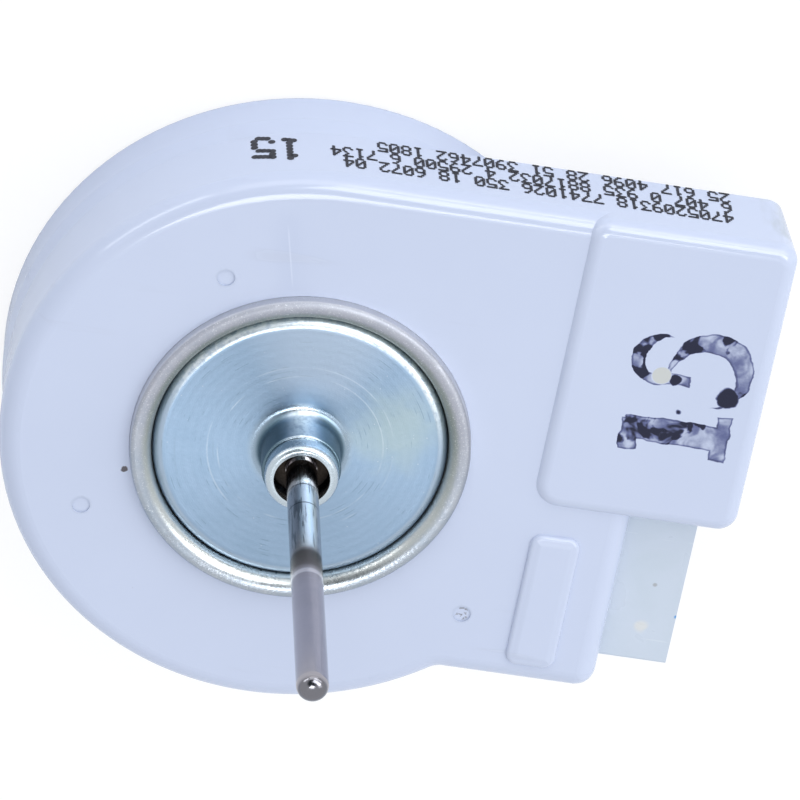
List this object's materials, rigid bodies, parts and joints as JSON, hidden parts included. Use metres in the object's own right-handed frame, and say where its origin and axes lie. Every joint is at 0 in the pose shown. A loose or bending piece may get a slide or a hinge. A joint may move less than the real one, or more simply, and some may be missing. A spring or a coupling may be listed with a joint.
{
  "type": "refrigerator fan motor",
  "caption": "Small drum-shaped fan motor with a moulded white housing, a side tail with an electrical socket, a plated bearing plate and a long plain shaft.",
  "frame": {"origin": "on the shaft axis, at the flat back of the drum", "axes": "+Z along the shaft towards its free end, +X towards the tail and its socket, +Y towards the straight side wall"},
  "size_m": [0.0751, 0.0603, 0.0656],
  "materials": {
    "housing_resin": "glossy white moulded resin",
    "zinc_plate": "bright zinc plate on drawn steel",
    "sintered_bronze": "oil-soaked sintered bronze",
    "oiled_felt": "wool felt",
    "spring_steel": "satin spring steel",
    "wear_plastic": "smooth bearing plastic",
    "lamination": "stacked electrical sheet",
    "bobbin_nylon": "satin nylon",
    "enamelled_copper": "varnished winding",
    "board_laminate": "solder-masked laminate",
    "chip_package": "moulded epoxy",
    "capacitor_case": "moulded case",
    "tinned_pin": "bright tin plate",
    "connector_nylon": "natural translucent nylon",
    "shaft_steel": "ground and polished steel",
    "rotor_steel": "satin steel",
    "ferrite": "sintered ferrite",
    "print_ink": "dark printing ink"
  },
  "bodies": {
    "motor": {"housing": "housing_resin", "bead_ring": "zinc_plate", "bearing_bracket": "zinc_plate", "front_bearing": "sintered_bronze", "front_felt": "oiled_felt", "bearing_retainer": "spring_steel", "rear_bearing": "sintered_bronze", "rear_felt": "oiled_felt", "thrust_pad": "wear_plastic", "stator_core": "lamination", "rear_insulator": "bobbin_nylon", "front_insulator": "bobbin_nylon", "coil_1": "enamelled_copper", "coil_2": "enamelled_copper", "coil_3": "enamelled_copper", "coil_4": "enamelled_copper", "coil_5": "enamelled_copper", "coil_6": "enamelled_copper", "circuit_board": "board_laminate", "winding_pin_1": "tinned_pin", "winding_pin_2": "tinned_pin", "winding_pin_3": "tinned_pin", "driver_chip": "chip_package", "filter_capacitor": "capacitor_case", "resistor_1": "chip_package", "resistor_2": "chip_package", "resistor_3": "chip_package", "position_sensor": "chip_package", "connector_shell": "connector_nylon", "contact_pin_1": "tinned_pin", "contact_pin_2": "tinned_pin", "contact_pin_3": "tinned_pin", "contact_pin_4": "tinned_pin"},
    "rotor": {"shaft": "shaft_steel", "rotor_core": "rotor_steel", "ring_magnet": "ferrite", "rear_washer": "wear_plastic", "front_spacer": "wear_plastic"}
  },
  "joints": [
    {"name": "rotor_spin", "type": "hinge", "parent": "motor", "child": "rotor", "pos_m": [0, 0, 0], "axis": [0, 0, 1], "continuous": true}
  ]
}
